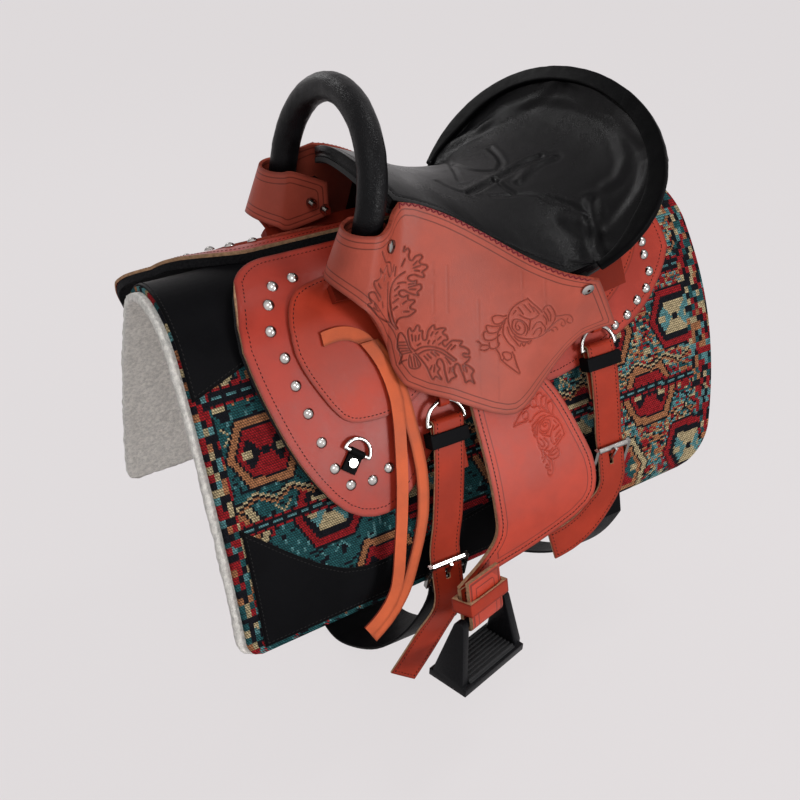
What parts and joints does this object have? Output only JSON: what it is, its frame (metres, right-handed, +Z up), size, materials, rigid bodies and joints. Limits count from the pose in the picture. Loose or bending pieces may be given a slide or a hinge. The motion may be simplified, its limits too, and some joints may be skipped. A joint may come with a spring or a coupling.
{
  "type": "endurance saddle",
  "caption": "Leather riding saddle with a dished black seat, a wrapped hand loop at the pommel, studded skirts on a woven pad, buckled girth straps and stirrups on leather fenders.",
  "frame": {"origin": "top of the arch under the pad's lining, midway along the pad, where it rests on the horse's spine", "axes": "+X towards the horse's head, +Y to the near (left) side, +Z up"},
  "size_m": [0.6678, 0.5722, 0.7379],
  "materials": {
    "fleece": "soft pile",
    "woven_face": "flat weave in several colours",
    "black_leather": "satin",
    "felt": "matt",
    "tree_wood": "raw",
    "tree_steel": "satin",
    "seat_shell": "matt",
    "nickel": "polished",
    "rubber": "matt",
    "stirrup_metal": "satin",
    "thong_leather": "satin",
    "jockey_leather": "satin, tooled",
    "skirt_leather": "satin"
  },
  "bodies": {
    "saddle": {"pad_fleece": "fleece", "pad_carpet": "woven_face", "withers_patch": "black_leather", "near_wear_patch": "black_leather", "off_wear_patch": "black_leather", "near_skirt_felt": "felt", "off_skirt_felt": "felt", "near_skirt": "skirt_leather", "off_skirt": "skirt_leather", "near_front_jockey": "skirt_leather", "off_front_jockey": "skirt_leather", "near_rear_jockey": "skirt_leather", "off_rear_jockey": "skirt_leather", "skirt_studs": "nickel", "near_tree_bar": "tree_wood", "off_tree_bar": "tree_wood", "front_arch": "tree_steel", "rear_arch": "tree_steel", "ground_seat": "seat_shell", "seat_cushion": "black_leather", "cantle_rim": "black_leather", "cantle_back": "jockey_leather", "near_seat_jockey": "jockey_leather", "off_seat_jockey": "jockey_leather", "jockey_screws": "nickel", "handle_core": "tree_steel", "handle_wrap": "black_leather", "handle_bolts": "nickel", "dee_tabs": "black_leather", "tab_rivets": "nickel", "near_tie_string": "thong_leather", "off_tie_string": "thong_leather", "rigging_dees": "nickel", "rigging_straps": "skirt_leather", "near_front_billet": "skirt_leather", "off_front_billet": "skirt_leather", "near_rear_billet": "skirt_leather", "off_rear_billet": "skirt_leather", "billet_keepers": "black_leather", "girth": "black_leather", "flank_strap": "black_leather", "buckle_frames": "nickel", "buckle_tongues": "nickel", "stirrup_hangers": "nickel"},
    "near_fender_body": {"near_fender": "jockey_leather", "near_hobble_strap": "skirt_leather"},
    "near_stirrup_body": {"near_stirrup": "stirrup_metal", "near_tread": "rubber"},
    "near_breast_dee_body": {"near_breast_dee": "nickel"},
    "near_front_roller_body": {"near_front_roller": "nickel"},
    "near_rear_roller_body": {"near_rear_roller": "nickel"},
    "off_fender_body": {"off_fender": "jockey_leather", "off_hobble_strap": "skirt_leather"},
    "off_stirrup_body": {"off_stirrup": "stirrup_metal", "off_tread": "rubber"},
    "off_breast_dee_body": {"off_breast_dee": "nickel"},
    "off_front_roller_body": {"off_front_roller": "nickel"},
    "off_rear_roller_body": {"off_rear_roller": "nickel"}
  },
  "joints": [
    {"name": "near_fender_swing", "type": "hinge", "parent": "saddle", "child": "near_fender_body", "pos_m": [-0.004, 0.11911, -0.06075], "axis": [0, 0.8998, 0.4362], "range_deg": [-6, 14]},
    {"name": "off_fender_swing", "type": "hinge", "parent": "saddle", "child": "off_fender_body", "pos_m": [-0.004, -0.11911, -0.06075], "axis": [0, 0.8998, -0.4362], "range_deg": [-6, 14]},
    {"name": "near_stirrup_pivot", "type": "hinge", "parent": "near_fender_body", "child": "near_stirrup_body", "pos_m": [0.062, 0.2438, -0.33489], "axis": [0.9511, 0.3016, 0.0672], "range_deg": [-3, 60]},
    {"name": "off_stirrup_pivot", "type": "hinge", "parent": "off_fender_body", "child": "off_stirrup_body", "pos_m": [0.062, -0.2438, -0.33489], "axis": [-0.9511, 0.3016, -0.0672], "range_deg": [-3, 60]},
    {"name": "near_breast_dee_swing", "type": "hinge", "parent": "saddle", "child": "near_breast_dee_body", "pos_m": [0.16192, 0.14917, -0.14267], "axis": [-0.766, 0.2404, -0.5961], "range_deg": [0, 150]},
    {"name": "off_breast_dee_swing", "type": "hinge", "parent": "saddle", "child": "off_breast_dee_body", "pos_m": [0.16816, -0.15663, -0.13966], "axis": [0.7201, -0.0018, 0.6938], "range_deg": [0, 150]},
    {"name": "near_front_roller_spin", "type": "hinge", "parent": "saddle", "child": "near_front_roller_body", "pos_m": [0.082, 0.20388, -0.28453], "axis": [1, 0, 0], "continuous": true},
    {"name": "off_front_roller_spin", "type": "hinge", "parent": "saddle", "child": "off_front_roller_body", "pos_m": [0.082, -0.20388, -0.28453], "axis": [1, 0, 0], "continuous": true},
    {"name": "near_rear_roller_spin", "type": "hinge", "parent": "saddle", "child": "near_rear_roller_body", "pos_m": [-0.155, 0.18687, -0.22706], "axis": [1, 0, 0], "continuous": true},
    {"name": "off_rear_roller_spin", "type": "hinge", "parent": "saddle", "child": "off_rear_roller_body", "pos_m": [-0.155, -0.18687, -0.22706], "axis": [1, 0, 0], "continuous": true}
  ]
}
